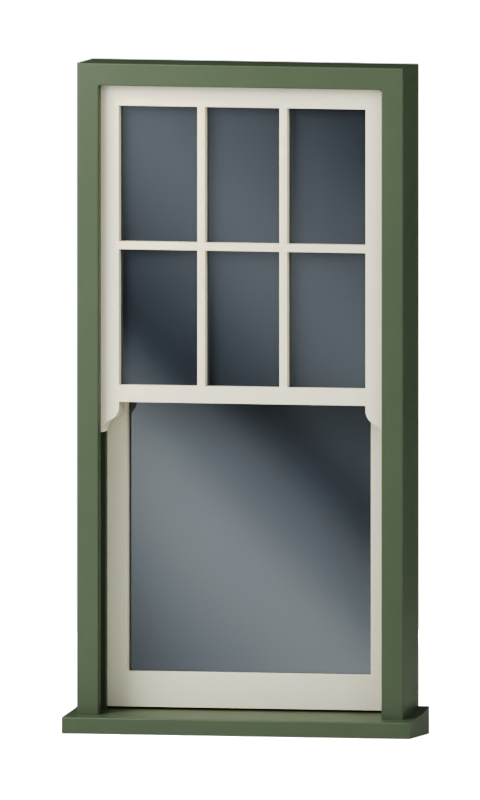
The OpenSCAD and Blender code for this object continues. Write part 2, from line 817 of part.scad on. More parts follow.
module fastener_base() {
    color(brass) placed() {
        difference() {
            block([-fastener_l / 2, pivot_y - fastener_w / 2, meeting_top_z],
                [fastener_l / 2, pivot_y + fastener_w / 2, meeting_top_z + plate_t]);
            fastener_screws_at() screw_hole(screw_l);
        }
        translate([0, pivot_y, meeting_top_z]) {
            cylinder(h = pivot_head_z + pivot_head_t, d = pivot_d);
            translate([0, 0, pivot_head_z]) cylinder(h = pivot_head_t, d = pivot_d + 2 * pivot_head_lip);
        }
    }
}

// Arm parked along the rail; it swings towards the keep
module fastener_arm() {
    hub_z = meeting_top_z + plate_t + hub_gap_low;
    arm_z = hub_z + arm_rise;
    color(brass) placed() difference() {
        union() {
            translate([0, pivot_y, hub_z]) cylinder(h = hub_h, d = hub_d);
            block([0, pivot_y - arm_w / 2, arm_z], [arm_l, pivot_y + arm_w / 2, arm_z + arm_t]);
            translate([arm_l, pivot_y, arm_z]) cylinder(h = arm_t, d = arm_w);
            translate([arm_l, pivot_y, hub_z + arm_t + knob_d / 2]) sphere(d = knob_d);
        }
        translate([0, pivot_y, hub_z - 1]) cylinder(h = hub_h + 2, d = pivot_d + 2 * pivot_gap);
    }
}

module fastener_keep() {
    post_h = plate_t + keep_post_h;
    color(brass) placed() {
        difference() {
            block([-keep_l / 2, keep_y, meeting_top_z],
                [keep_l / 2, keep_y + keep_w, meeting_top_z + plate_t]);
            keep_screws_at() screw_hole(screw_l);
        }
        translate([0, keep_y + keep_w / 2, meeting_top_z]) {
            cylinder(h = post_h, d = keep_post_d);
            translate([0, 0, post_h - keep_head_t]) cylinder(h = keep_head_t, d = keep_head_d);
        }
    }
}

// Hook lift: a plate with a J-shaped hook bent up from its foot
module lift_shape() {
    hook_z = -lift_h / 2 + hook_r + hook_t;
    translate([0, -lift_h / 2]) square([plate_t, lift_h]);
    translate([plate_t + hook_r, hook_z]) difference() {
        circle(hook_r + hook_t);
        circle(hook_r);
        translate([-2 * hook_r, 0]) square(4 * hook_r);
    }
    translate([plate_t + 2 * hook_r, hook_z - eps]) square([hook_t, hook_r]);
    translate([plate_t + 2 * hook_r + hook_t / 2, hook_z + hook_r - eps]) circle(d = hook_t);
}

module lift() {
    color(brass) placed() difference() {
        along_x(lift_offset - lift_w / 2, lift_offset + lift_w / 2)
            translate([lower_y + sash_t, lift_z]) lift_shape();
        lift_screws_at() screw_hole(screw_l);
    }
}

sill();
left_hand() jamb();  // jamb_left
jamb();  // jamb_right
head();
left_hand() outer_lining();  // outer_lining_left
outer_lining();  // outer_lining_right
outer_lining_head();
left_hand() inner_lining();  // inner_lining_left
inner_lining();  // inner_lining_right
inner_lining_head();
left_hand() parting_bead();  // parting_bead_left
parting_bead();  // parting_bead_right
parting_bead_head();
left_hand() staff_bead();  // staff_bead_left
staff_bead();  // staff_bead_right
staff_bead_head();
staff_bead_sill();
left_hand() upper_stile();  // upper_stile_left
upper_stile();  // upper_stile_right
upper_top_rail();
upper_meeting_rail();
left_hand() upright_bar();  // upright_bar_left
upright_bar();  // upright_bar_right
cross_bar(columns[0][0], columns[0][1]);  // cross_bar_left
cross_bar(columns[1][0], columns[1][1]);  // cross_bar_middle
cross_bar(columns[2][0], columns[2][1]);  // cross_bar_right
pane(columns[0], rows[1], upper_y);  // pane_top_left
pane(columns[1], rows[1], upper_y);  // pane_top_middle
pane(columns[2], rows[1], upper_y);  // pane_top_right
pane(columns[0], rows[0], upper_y);  // pane_low_left
pane(columns[1], rows[0], upper_y);  // pane_low_middle
pane(columns[2], rows[0], upper_y);  // pane_low_right
upper_glazing_beads();
left_hand() lower_stile();  // lower_stile_left
lower_stile();  // lower_stile_right
lower_meeting_rail();
bottom_rail();
pane([-lower_sight_x, lower_sight_x], [bottom_sight_z, meeting_z], lower_y);  // lower_pane
lower_glazing_beads();
left_hand() balance_tube(upper_mid_y);  // upper_tube_left
balance_tube(upper_mid_y);  // upper_tube_right
left_hand() balance_tube(lower_mid_y);  // lower_tube_left
balance_tube(lower_mid_y);  // lower_tube_right
left_hand() balance_rod(upper_mid_y, upper_foot_z, upper_rod_top);  // upper_rod_left
balance_rod(upper_mid_y, upper_foot_z, upper_rod_top);  // upper_rod_right
left_hand() balance_rod(lower_mid_y, lower_foot_z, lower_rod_top);  // lower_rod_left
balance_rod(lower_mid_y, lower_foot_z, lower_rod_top);  // lower_rod_right
rod_feet(upper_mid_y, upper_foot_z);  // upper_rod_feet
rod_feet(lower_mid_y, lower_foot_z);  // lower_rod_feet
balance_nuts();
balance_springs();
fastener_base();
fastener_arm();
fastener_keep();
left_hand() lift();  // lift_left
lift();  // lift_right
upper_sash_screws();
lower_sash_screws();
balance_screws();
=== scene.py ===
import math

import bmesh
import bpy
from mathutils import Matrix, Vector


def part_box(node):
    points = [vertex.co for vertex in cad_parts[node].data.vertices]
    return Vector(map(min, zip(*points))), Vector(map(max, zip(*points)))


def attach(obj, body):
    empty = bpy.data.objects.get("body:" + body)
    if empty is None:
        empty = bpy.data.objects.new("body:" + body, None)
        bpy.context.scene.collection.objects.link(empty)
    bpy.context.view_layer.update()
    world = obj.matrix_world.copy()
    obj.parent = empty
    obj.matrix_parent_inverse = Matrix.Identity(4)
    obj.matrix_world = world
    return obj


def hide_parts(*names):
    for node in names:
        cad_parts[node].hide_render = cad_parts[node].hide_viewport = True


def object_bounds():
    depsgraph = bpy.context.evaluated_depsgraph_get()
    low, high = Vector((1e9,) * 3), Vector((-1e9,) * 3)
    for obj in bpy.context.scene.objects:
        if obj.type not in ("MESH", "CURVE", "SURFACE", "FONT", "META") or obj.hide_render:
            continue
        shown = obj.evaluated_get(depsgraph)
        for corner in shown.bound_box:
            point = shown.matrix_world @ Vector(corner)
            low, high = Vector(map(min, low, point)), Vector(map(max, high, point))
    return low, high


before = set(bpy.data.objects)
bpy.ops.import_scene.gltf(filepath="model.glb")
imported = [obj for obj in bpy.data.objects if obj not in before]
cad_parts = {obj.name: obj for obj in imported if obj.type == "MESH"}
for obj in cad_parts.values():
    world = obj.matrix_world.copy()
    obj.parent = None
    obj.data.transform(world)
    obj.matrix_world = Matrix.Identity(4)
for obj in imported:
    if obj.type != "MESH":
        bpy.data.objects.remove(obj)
cad_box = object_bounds()

# ---- Sill ----
# One length of hardwood across the whole opening, moulded with a rounded front arris, a sloping
# top and a steeper seat under the lower sash. It is planed, primed and brushed green.
MM = 0.001
LIGHTER_GREEN = (0.085, 0.106, 0.068, 1)
DEEPER_GREEN = (0.077, 0.097, 0.061, 1)
GREEN_GLOSS = 0.42
BRISTLES = 900
BRUSH_STROKES = 14
PLANER_WAVES = 45
LONG_WAVES = 2.2
ORANGE_PEEL = 520


def join_up(tree, source, target):
    tree.links.new(source, target)


def noise_along(tree, where, scale, detail, roughness):
    """Noise in metres of the window, stretched by a different scale along each axis."""
    stretch = tree.nodes.new("ShaderNodeMapping")
    stretch.inputs["Scale"].default_value = scale
    join_up(tree, where, stretch.inputs["Vector"])
    noise = tree.nodes.new("ShaderNodeTexNoise")
    noise.inputs["Scale"].default_value = 1
    noise.inputs["Detail"].default_value = detail
    noise.inputs["Roughness"].default_value = roughness
    join_up(tree, stretch.outputs["Vector"], noise.inputs["Vector"])
    return noise.outputs["Fac"]


def spread(tree, value, low, high):
    """Stretches the middle of a noise so that it runs from low to high."""
    span = tree.nodes.new("ShaderNodeMapRange")
    span.inputs["From Min"].default_value = 0.3
    span.inputs["From Max"].default_value = 0.7
    span.inputs["To Min"].default_value = low
    span.inputs["To Max"].default_value = high
    join_up(tree, value, span.inputs["Value"])
    return span.outputs["Result"]


def two_tones(tree, share, first, second):
    mix = tree.nodes.new("ShaderNodeMix")
    mix.data_type = "RGBA"
    mix.inputs["A"].default_value = first
    mix.inputs["B"].default_value = second
    join_up(tree, share, mix.inputs["Factor"])
    return mix.outputs["Result"]


def relief(tree, height, depth, below=None):
    """Bump of a real depth in metres, on top of any coarser relief."""
    bump = tree.nodes.new("ShaderNodeBump")
    bump.inputs["Strength"].default_value = 1
    bump.inputs["Distance"].default_value = depth
    join_up(tree, height, bump.inputs["Height"])
    if below:
        join_up(tree, below, bump.inputs["Normal"])
    return bump.outputs["Normal"]


def new_finish(name):
    finish = bpy.data.materials.new(name)
    finish.use_nodes = True
    tree = finish.node_tree
    shader = tree.nodes["Principled BSDF"]
    place = tree.nodes.new("ShaderNodeTexCoord").outputs["Object"]
    return finish, tree, shader, place


def brushed_paint(name, lighter, deeper, gloss, lie):
    """Satin oil paint. lie is the axis, 0 to 2, that the brush follows; marks are per metre."""
    finish, tree, shader, place = new_finish(name)
    marks = [BRISTLES, BRISTLES, BRISTLES]
    marks[lie] = BRUSH_STROKES
    planing = [PLANER_WAVES, PLANER_WAVES, PLANER_WAVES]
    planing[lie] = LONG_WAVES
    drift = noise_along(tree, place, (3.5, 3.5, 3.5), 3, 0.5)
    streaks = noise_along(tree, place, marks, 2, 0.5)
    hills = noise_along(tree, place, planing, 2, 0.4)
    peel = noise_along(tree, place, (ORANGE_PEEL, ORANGE_PEEL, ORANGE_PEEL), 1, 0.4)
    colour = two_tones(tree, spread(tree, drift, 0, 1), deeper, lighter)
    join_up(tree, colour, shader.inputs["Base Color"])
    join_up(tree, spread(tree, streaks, gloss - 0.03, gloss + 0.04), shader.inputs["Roughness"])
    ground = relief(tree, hills, 0.25 * MM)
    skin = relief(tree, peel, 0.02 * MM, ground)
    join_up(tree, relief(tree, streaks, 0.02 * MM, skin), shader.inputs["Normal"])
    return finish


green_level = brushed_paint("green_paint_level", LIGHTER_GREEN, DEEPER_GREEN, GREEN_GLOSS, 0)
green_upright = brushed_paint("green_paint_upright", LIGHTER_GREEN, DEEPER_GREEN, GREEN_GLOSS, 2)


def coat(name, finish):
    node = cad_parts[name]
    for layer in range(len(node.data.materials)):
        node.data.materials[layer] = finish
    return node


def ease_edges(node, ease, turn=35):
    """Takes the sharpness off a planed edge, as sandpaper and a coat of paint do."""
    shape = node.data
    if "custom_normal" in shape.attributes:
        shape.attributes.remove(shape.attributes["custom_normal"])
    shape.polygons.foreach_set("use_smooth", [True] * len(shape.polygons))
    weld = node.modifiers.new("weld", "WELD")
    weld.merge_threshold = 0.02 * MM
    flat = node.modifiers.new("flat", "DECIMATE")
    flat.decimate_type = "DISSOLVE"
    flat.angle_limit = math.radians(0.5)
    bevel = node.modifiers.new("ease", "BEVEL")
    bevel.width = ease
    bevel.segments = 2
    bevel.limit_method = "ANGLE"
    bevel.angle_limit = math.radians(turn)
    bevel.use_clamp_overlap = True
    shade = node.modifiers.new("shade", "WEIGHTED_NORMAL")
    shade.keep_sharp = False
    shade.weight = 90
    return node


ease_edges(coat("sill", green_level), 0.8 * MM)

# ---- Box frame ----
# Jambs and head of planed softwood: the jambs' tops are housed into the head and their feet
# are cut to the sill's slopes. The same green paint covers them, inside the channels too.
for name in ("jamb_left", "jamb_right"):
    ease_edges(coat(name, green_upright), 0.5 * MM)
ease_edges(coat("head", green_level), 0.5 * MM)

# ---- Outer linings ----
# Flat boards nailed to the jambs' and head's outer edges. Their front arrises are rounded,
# and they stand 13 mm past the channel's floor to keep the upper sash in.
for name in ("outer_lining_left", "outer_lining_right"):
    ease_edges(coat(name, green_upright), 0.2 * MM)
ease_edges(coat("outer_lining_head", green_level), 0.2 * MM)

# ---- Parting beads ----
# Thin strips pressed into grooves in the jambs and the head, the side ones with rounded edges.
# They keep the two sashes apart, and they are painted with the frame.
for name in ("parting_bead_left", "parting_bead_right"):
    ease_edges(coat(name, green_upright), 0.4 * MM)
ease_edges(coat("parting_bead_head", green_level), 0.4 * MM)

# ---- Inner linings and staff beads ----
# Boards round the inside of the frame, with a rounded bead that holds the lower sash in.
# The beads are planted on last, so that the sashes can be taken out.
for name in ("inner_lining_left", "inner_lining_right", "staff_bead_left", "staff_bead_right"):
    ease_edges(coat(name, green_upright), 0.4 * MM)
for name in ("inner_lining_head", "staff_bead_head", "staff_bead_sill"):
    ease_edges(coat(name, green_level), 0.4 * MM)

# ---- Sash timber ----
# Stiles and rails of planed hardwood, mortised, tenoned and glued, then brushed cream.
# The upper sash's stiles run on below the meeting rail as ogee horns.
WARM_CREAM = (0.818, 0.776, 0.632, 1)
DEEPER_CREAM = (0.793, 0.751, 0.602, 1)
CREAM_GLOSS = 0.40
cream_level = brushed_paint("cream_paint_level", WARM_CREAM, DEEPER_CREAM, CREAM_GLOSS, 0)
cream_upright = brushed_paint("cream_paint_upright", WARM_CREAM, DEEPER_CREAM, CREAM_GLOSS, 2)
for name in ("upper_stile_left", "upper_stile_right", "upright_bar_left", "upright_bar_right",
             "lower_stile_left", "lower_stile_right"):
    ease_edges(coat(name, cream_upright), 0.4 * MM)
for name in ("upper_top_rail", "upper_meeting_rail", "cross_bar_left", "cross_bar_middle",
             "cross_bar_right", "lower_meeting_rail", "bottom_rail",
             "upper_glazing_beads", "lower_glazing_beads"):
    ease_edges(coat(name, cream_level), 0.4 * MM)

# ---- Panes ----
# Float glass, 6 mm thick, cut square, bedded on the rebates and held by beads from the inside.
# The panes are opaque. Their dark slate base colour is painted shade for the dark room behind them, and the
# studio shows in their face.
GLASS_SHADE_DEEPER = (0.045, 0.053, 0.062, 1)
GLASS_SHADE_LIGHTER = (0.049, 0.058, 0.067, 1)
GLASS_SHINE = 1.9
glass, tree, shader, place = new_finish("dark_glass")
shader.inputs["IOR"].default_value = GLASS_SHINE
haze = noise_along(tree, place, (2.0, 2.0, 2.0), 2, 0.5)
# The base colour is painted shade for the room behind, in two tones that differ at random.
painted_room_shade = two_tones(tree, spread(tree, haze, 0, 1), GLASS_SHADE_DEEPER, GLASS_SHADE_LIGHTER)
join_up(tree, painted_room_shade, shader.inputs["Base Color"])
join_up(tree, spread(tree, haze, 0.05, 0.07), shader.inputs["Roughness"])
rollers = noise_along(tree, place, (5, 5, 0.8), 1, 0.4)
join_up(tree, relief(tree, rollers, 0.1 * MM), shader.inputs["Normal"])
for name in ("pane_top_left", "pane_top_middle", "pane_top_right", "pane_low_left",
             "pane_low_middle", "pane_low_right", "lower_pane"):
    coat(name, glass)

# ---- Balance tubes ----
# Each sash hangs on two spiral balances. Their tubes are drawn steel, and the plug in the top
# of each tube has a lug that is screwed to the jamb.


def worked_metal(name, bright, dull, gloss, marks, depth):
    """Bare metal. marks tells how close the tool's lines lie along each axis, per metre."""
    finish, tree, shader, place = new_finish(name)
    shader.inputs["Metallic"].default_value = 1
    drift = noise_along(tree, place, (70, 70, 70), 3, 0.5)
    lines = noise_along(tree, place, marks, 2, 0.5)
    colour = two_tones(tree, spread(tree, drift, 0, 1), dull, bright)
    join_up(tree, colour, shader.inputs["Base Color"])
    join_up(tree, spread(tree, lines, gloss - 0.04, gloss + 0.06), shader.inputs["Roughness"])
    join_up(tree, relief(tree, lines, depth), shader.inputs["Normal"])
    return finish


drawn_steel = worked_metal("drawn_steel", (0.62, 0.62, 0.61, 1), (0.54, 0.54, 0.53, 1), 0.36,
                           (1400, 1400, 12), 0.01 * MM)
for name in ("upper_tube_left", "upper_tube_right", "lower_tube_left", "lower_tube_right"):
    ease_edges(coat(name, drawn_steel), 0.2 * MM)

# ---- Balance springs ----
# Oil-tempered steel wire wound into long open coils, one inside each tube. Each coil hangs
# from its tube's plug, and the spiral rod runs up through it.
studio = bpy.context.scene
spring_steel = worked_metal("spring_steel", (0.36, 0.355, 0.35, 1), (0.28, 0.275, 0.27, 1), 0.34,
                            (900, 900, 900), 0.01 * MM)
WIRE = 2 * MM
COIL = 5.5 * MM
COIL_PITCH = 8 * MM
COIL_STEPS = 16
WIRE_SIDES = 8


def skin_between(shape, rings):
    """Closed skin over a row of rings that have the same number of corners."""
    for ring, following in zip(rings, rings[1:]):
        for corner in range(len(ring)):
            beyond = (corner + 1) % len(ring)
            shape.faces.new((ring[corner], ring[beyond], following[beyond], following[corner]))
    shape.faces.new(list(reversed(rings[0])))
    shape.faces.new(rings[-1])
    bmesh.ops.recalc_face_normals(shape, faces=shape.faces)


def new_piece(name, shape, finish, turn=40):
    """Finished object from a bmesh, shaded smooth except across edges sharper than turn."""
    mesh = bpy.data.meshes.new(name)
    shape.to_mesh(mesh)
    shape.free()
    mesh.materials.append(finish)
    mesh.polygons.foreach_set("use_smooth", [True] * len(mesh.polygons))
    mesh.set_sharp_from_angle(angle=math.radians(turn))
    piece = bpy.data.objects.new(name, mesh)
    studio.collection.objects.link(piece)
    return piece


def wind_coil(shape, x, y, low, high):
    """One spring about an upright axis, between two heights."""
    steps = round((high - low) / COIL_PITCH * COIL_STEPS)
    rings = []
    for step in range(steps + 1):
        turn = step * math.tau / COIL_STEPS
        height = low + WIRE / 2 + (high - low - WIRE) * step / steps
        ring = []
        for side in range(WIRE_SIDES):
            round_wire = side * math.tau / WIRE_SIDES
            out = COIL + WIRE / 2 * math.cos(round_wire)
            ring.append(shape.verts.new((x + out * math.cos(turn), y + out * math.sin(turn),
                                         height + WIRE / 2 * math.sin(round_wire))))
        rings.append(ring)
    skin_between(shape, rings)


springs_low, springs_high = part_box("balance_springs")
coils = bmesh.new()
for x in (springs_low.x + COIL + WIRE / 2, springs_high.x - COIL - WIRE / 2):
    for y in (springs_low.y + COIL + WIRE / 2, springs_high.y - COIL - WIRE / 2):
        wind_coil(coils, x, y, springs_low.z, springs_high.z)
springs = new_piece("spring_coils", coils, spring_steel)
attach(springs, "frame")
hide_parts("balance_springs")

# ---- Balance nuts ----
# Flanged nylon nuts, moulded white, pressed into the tubes' mouths. The spiral rods run
# through them.
nylon, tree, shader, place = new_finish("moulded_nylon")
clouds = noise_along(tree, place, (120, 120, 120), 3, 0.5)
grain = noise_along(tree, place, (2500, 2500, 2500), 1, 0.4)
milky = two_tones(tree, spread(tree, clouds, 0, 1), (0.70, 0.69, 0.65, 1), (0.76, 0.75, 0.71, 1))
join_up(tree, milky, shader.inputs["Base Color"])
join_up(tree, spread(tree, grain, 0.36, 0.46), shader.inputs["Roughness"])
join_up(tree, relief(tree, grain, 0.01 * MM), shader.inputs["Normal"])
ease_edges(coat("balance_nuts", nylon), 0.3 * MM)

# ---- Spiral rods ----
# Flat steel strip, 6 mm wide, twisted evenly along its length and zinc plated. Each rod is
# fixed to a foot on its sash and turns the nut as the sash slides.
plated_steel = worked_metal("plated_steel", (0.60, 0.60, 0.58, 1), (0.50, 0.50, 0.48, 1), 0.32,
                            (800, 800, 60), 0.01 * MM)
TWIST_PITCH = 40 * MM
TWIST_STEP = 1.6 * MM
HALF_STRIP = 2.9 * MM
HALF_STRIP_THICK = 0.9 * MM
STRIP_EASE = 0.3 * MM


def twisted_strip(name):
    """Strip with nipped corners, turned evenly round the rod's own axis."""
    low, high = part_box(name)
    x, y = (low.x + high.x) / 2, (low.y + high.y) / 2
    corners = []
    for side_x, side_y in ((1, 1), (-1, 1), (-1, -1), (1, -1)):
        pair = [(side_x * HALF_STRIP, side_y * (HALF_STRIP_THICK - STRIP_EASE)),
                (side_x * (HALF_STRIP - STRIP_EASE), side_y * HALF_STRIP_THICK)]
        corners += pair if side_x * side_y > 0 else reversed(pair)
    shape = bmesh.new()
    steps = round((high.z - low.z) / TWIST_STEP)
    rings = []
    for step in range(steps + 1):
        height = low.z + (high.z - low.z) * step / steps
        turn = math.tau * (height - low.z) / TWIST_PITCH
        rings.append([shape.verts.new((x + across * math.cos(turn) - painted_room_shade * math.sin(turn),
                                       y + across * math.sin(turn) + painted_room_shade * math.cos(turn), height))
                      for across, painted_room_shade in corners])
    skin_between(shape, rings)
    return new_piece(name + "_spiral", shape, plated_steel)


for body in ("upper", "lower"):
    for side in ("left", "right"):
        rod = twisted_strip(body + "_rod_" + side)
        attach(rod, body + "_sash")
        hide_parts(body + "_rod_" + side)

# ---- Rod feet ----
# Small die-cast zinc blocks, let into the stiles' grooves and screwed there. Each one holds
# the end of its rod.
cast_zinc = worked_metal("cast_zinc", (0.50, 0.50, 0.50, 1), (0.42, 0.42, 0.42, 1), 0.48,
                         (1600, 1600, 1600), 0.02 * MM)
for name in ("upper_rod_feet", "lower_rod_feet"):
    ease_edges(coat(name, cast_zinc), 0.5 * MM)

# ---- Fastener ----
# A cast and polished brass cam fastener on the lower sash's meeting rail. The plate carries a
# riveted pivot, and the arm is one casting with its hub and ball knob.
brass = worked_metal("polished_brass", (0.80, 0.57, 0.25, 1), (0.70, 0.48, 0.19, 1), 0.20,
                     (260, 2600, 2600), 0.006 * MM)
PLATE = 3 * MM
PLATE_CORNER = 4 * MM
PLATE_EASE = 0.8 * MM
SCREW_HOLE = 1.85 * MM
SCREW_SEAT = 3.6 * MM
HEAD_DEEP = 1.2 * MM
FASTENER_SCREW_IN = 8 * MM
PIN = 4 * MM
PIN_HEAD = 6 * MM


def ring_of(shape, radius, height, around, at=(0, 0)):
    turns = [step * math.tau / around for step in range(around)]
    return [shape.verts.new((at[0] + radius * math.cos(turn), at[1] + radius * math.sin(turn), height))
            for turn in turns]


def turn_up(shape, profile, around, at=(0, 0)):
    """Solid turned about an upright axis, from a profile of radii and heights, foot first."""
    skin_between(shape, [ring_of(shape, radius, height, around, at) for radius, height in profile])


def rounded_plan(low, high, radius):
    """Corners of a rectangle with rounded corners, anticlockwise."""
    plan = []
    middles = ((high.x - radius, high.y - radius), (low.x + radius, high.y - radius),
               (low.x + radius, low.y + radius), (high.x - radius, low.y + radius))
    for quarter, middle in enumerate(middles):
        for step in range(7):
            turn = math.radians(90 * quarter + 15 * step)
            plan.append((middle[0] + radius * math.cos(turn), middle[1] + radius * math.sin(turn)))
    return plan


def cast_plate(shape, low, high, radius, ease):
    """Plate with rounded corners and an eased top edge, lying on its low face."""
    rings = []
    for inset, height in ((0, low.z), (0, low.z + PLATE - ease), (0.3 * ease, low.z + PLATE - 0.3 * ease),
                          (ease, low.z + PLATE)):
        edge = Vector((inset, inset, 0))
        plan = rounded_plan(low + edge, high - edge, radius - inset)
        rings.append([shape.verts.new((x, y, height)) for x, y in plan])
    skin_between(shape, rings)


def cut_out(piece, cutter):
    """Cuts one closed mesh out of another and keeps the result as a plain mesh."""
    tool = bpy.data.meshes.new("cutter")
    cutter.to_mesh(tool)
    cutter.free()
    holder = bpy.data.objects.new("cutter", tool)
    studio.collection.objects.link(holder)
    cut = piece.modifiers.new("cut", "BOOLEAN")
    cut.object = holder
    cut.solver = "EXACT"
    plain = bpy.data.meshes.new_from_object(piece.evaluated_get(bpy.context.evaluated_depsgraph_get()))
    piece.modifiers.clear()
    piece.data = plain
    bpy.data.objects.remove(holder)
    plain.polygons.foreach_set("use_smooth", [True] * len(plain.polygons))
    plain.set_sharp_from_angle(angle=math.radians(40))


def screw_seats(places):
    """Cutter for a plate's screw holes, each one wide above the head's seat."""
    shape = bmesh.new()
    for x, y, top in places:
        turn_up(shape, [(SCREW_HOLE, top - 4 * MM), (SCREW_HOLE, top - HEAD_DEEP),
                        (SCREW_SEAT, top - HEAD_DEEP), (SCREW_SEAT, top + 1 * MM)], 32, (x, y))
    return shape


low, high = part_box("fastener_base")
pivot = ((low.x + high.x) / 2, (low.y + high.y) / 2)
fastener_screws = [(low.x + FASTENER_SCREW_IN, pivot[1], low.z + PLATE),
                   (high.x - FASTENER_SCREW_IN, pivot[1], low.z + PLATE)]
plate = bmesh.new()
cast_plate(plate, low, high, PLATE_CORNER, PLATE_EASE)
base = new_piece("fastener_plate", plate, brass)
cut_out(base, screw_seats(fastener_screws))
pin = bmesh.new()
turn_up(pin, [(PIN, low.z + 1 * MM), (PIN, high.z - 2 * MM), (5.6 * MM, high.z - 2 * MM),
              (PIN_HEAD, high.z - 1.6 * MM), (5.7 * MM, high.z - 0.9 * MM), (4.6 * MM, high.z - 0.35 * MM),
              (2.6 * MM, high.z - 0.08 * MM), (0.8 * MM, high.z)], 40, pivot)
pin_piece = new_piece("fastener_pin", pin, brass)
for piece in (base, pin_piece):
    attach(piece, "lower_sash")
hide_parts("fastener_base")

low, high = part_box("fastener_arm")
HUB = 9 * MM
KNOB = 7 * MM
BORE = 4.2 * MM
hub_high = low.z + 8 * MM
arm_low, arm_high = low.z + 2 * MM, low.z + 7 * MM
knob = Vector((high.x - KNOB, pivot[1], high.z - KNOB))
casting = bmesh.new()
turn_up(casting, [(8.4 * MM, low.z), (HUB, low.z + 0.6 * MM), (HUB, hub_high - 1 * MM),
                  (8.6 * MM, hub_high - 0.3 * MM), (7.8 * MM, hub_high)], 48, pivot)
bar = []
for share in range(9):
    x = pivot[0] + (knob.x - pivot[0]) * share / 8
    half = (4.4 - 1.1 * math.sin(math.pi * share / 8)) * MM
    section = ((-half, arm_low), (half, arm_low), (half, arm_high - 1.2 * MM), (0.6 * half, arm_high),
               (-0.6 * half, arm_high), (-half, arm_high - 1.2 * MM))
    bar.append([casting.verts.new((x, pivot[1] + across, height)) for across, height in section])
skin_between(casting, bar)
turn_up(casting, [(3.9 * MM, arm_low), (4.4 * MM, arm_low + 0.5 * MM), (4.4 * MM, arm_high),
                  (3.6 * MM, arm_high + 0.6 * MM)], 32, (knob.x, knob.y))
BALL = KNOB - 0.03 * MM
ball_turns = [math.pi * step / 24 for step in range(1, 24)]
ball = [(BALL * math.sin(turn), knob.z - BALL * math.cos(turn)) for turn in ball_turns]
turn_up(casting, ball, 40, (knob.x, knob.y))
arm = new_piece("fastener_casting", casting, brass)
melt = arm.modifiers.new("melt", "REMESH")
melt.mode = "VOXEL"
melt.voxel_size = 0.4 * MM
soften = arm.modifiers.new("soften", "SMOOTH")
soften.factor = 0.5
soften.iterations = 4
bore = bmesh.new()
turn_up(bore, [(BORE, low.z - 1 * MM), (BORE, hub_high + 1 * MM)], 48, pivot)
cut_out(arm, bore)
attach(arm, "fastener_arm")
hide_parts("fastener_arm")

# ---- Fastener keep ----
# The keep is a cast brass plate with a turned mushroom post, screwed to the upper sash's
# meeting rail. The arm's cam draws the post in when it is locked.
KEEP_SCREW_IN = 7 * MM
POST = 3.5 * MM
POST_HEAD = 6.5 * MM
low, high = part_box("fastener_keep")
middle = ((low.x + high.x) / 2, (low.y + high.y) / 2)
keep_screws = [(low.x + KEEP_SCREW_IN, middle[1], low.z + PLATE),
               (high.x - KEEP_SCREW_IN, middle[1], low.z + PLATE)]
plate = bmesh.new()
cast_plate(plate, low, high, PLATE_CORNER, PLATE_EASE)
keep = new_piece("keep_plate", plate, brass)
cut_out(keep, screw_seats(keep_screws))
post = bmesh.new()
turn_up(post, [(POST, low.z + 1 * MM), (POST, high.z - 3.4 * MM), (4.4 * MM, high.z - 2.8 * MM),
               (6.1 * MM, high.z - 2.5 * MM), (POST_HEAD, high.z - 2.1 * MM), (6.3 * MM, high.z - 1.3 * MM),
               (5.2 * MM, high.z - 0.5 * MM), (3.0 * MM, high.z - 0.1 * MM), (0.9 * MM, high.z)], 40, middle)
post_piece = new_piece("keep_post", post, brass)
for piece in (keep, post_piece):
    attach(piece, "upper_sash")
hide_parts("fastener_keep")

# ---- Sash lifts ----
# Two hook lifts, pressed from brass strip and bent up at the foot, screwed to the inside of
# the bottom rail. Their edges are rounded and polished.
for name in ("lift_left", "lift_right"):
    ease_edges(coat(name, brass), 0.8 * MM)

# ---- Screws ----
# Slotted wood screws with low domed heads and cut threads: brass ones in the lower sash, and
# plated steel ones in the upper sash and the balance tubes' lugs.
SLOT = 0.9 * MM
SHORT_SCREW = 18 * MM
LONG_SCREW = 26 * MM
HEAD = 3.5 * MM
SHANK = 1.7 * MM
ROOT = 1.15 * MM
CREST = 1.72 * MM
THREAD_PITCH = 1.5 * MM
SCREW_SIDES = 24


def slotted_screw(name, under_head, finish):
    """One screw with its head's top at the origin, driven towards -Z."""
    shape = bmesh.new()
    head = [(0.6 * MM, 0), (2.2 * MM, -0.06 * MM), (3.1 * MM, -0.3 * MM), (HEAD, -0.65 * MM),
            (HEAD, -HEAD_DEEP), (SHANK, -HEAD_DEEP), (SHANK, -4 * MM)]
    rings = [ring_of(shape, radius, height, SCREW_SIDES) for radius, height in head]
    start, end = -4.2 * MM, -HEAD_DEEP - under_head
    rows = round((start - end) / THREAD_PITCH * 6)
    for row in range(rows + 1):
        height = start + (end - start) * row / rows
        taper = min(1, 0.25 + (height - end) / (5 * MM))
        ring = []
        for step in range(SCREW_SIDES):
            turn = step * math.tau / SCREW_SIDES
            along = (height / THREAD_PITCH + step / SCREW_SIDES) % 1
            out = (ROOT + (CREST - ROOT) * max(0, 1 - abs(along - 0.5) / 0.28)) * taper
            ring.append(shape.verts.new((out * math.cos(turn), out * math.sin(turn), height)))
        rings.append(ring)
    skin_between(shape, rings)
    screw = new_piece(name, shape, finish)
    slot = bmesh.new()
    bmesh.ops.create_cube(slot, size=1)
    bmesh.ops.transform(slot, matrix=Matrix.Diagonal((9 * MM, SLOT, 1.3 * MM, 1)), verts=slot.verts)
    cut_out(screw, slot)
    mesh = screw.data
    bpy.data.objects.remove(screw)
    return mesh


def drive_all(name, screws, finish):
    """One object for a group of screws, each given as its mesh, its place and its direction."""
    shape = bmesh.new()
    for number, (mesh, at, towards) in enumerate(screws):
        facing = (-Vector(towards)).to_track_quat("Z", "Y").to_matrix().to_4x4()
        place = Matrix.Translation(at) @ facing @ Matrix.Rotation(0.5 + 1.1 * number, 4, "Z")
        before = len(shape.verts)
        shape.from_mesh(mesh)
        shape.verts.ensure_lookup_table()
        bmesh.ops.transform(shape, matrix=place, verts=shape.verts[before:])
    return new_piece(name, shape, finish)


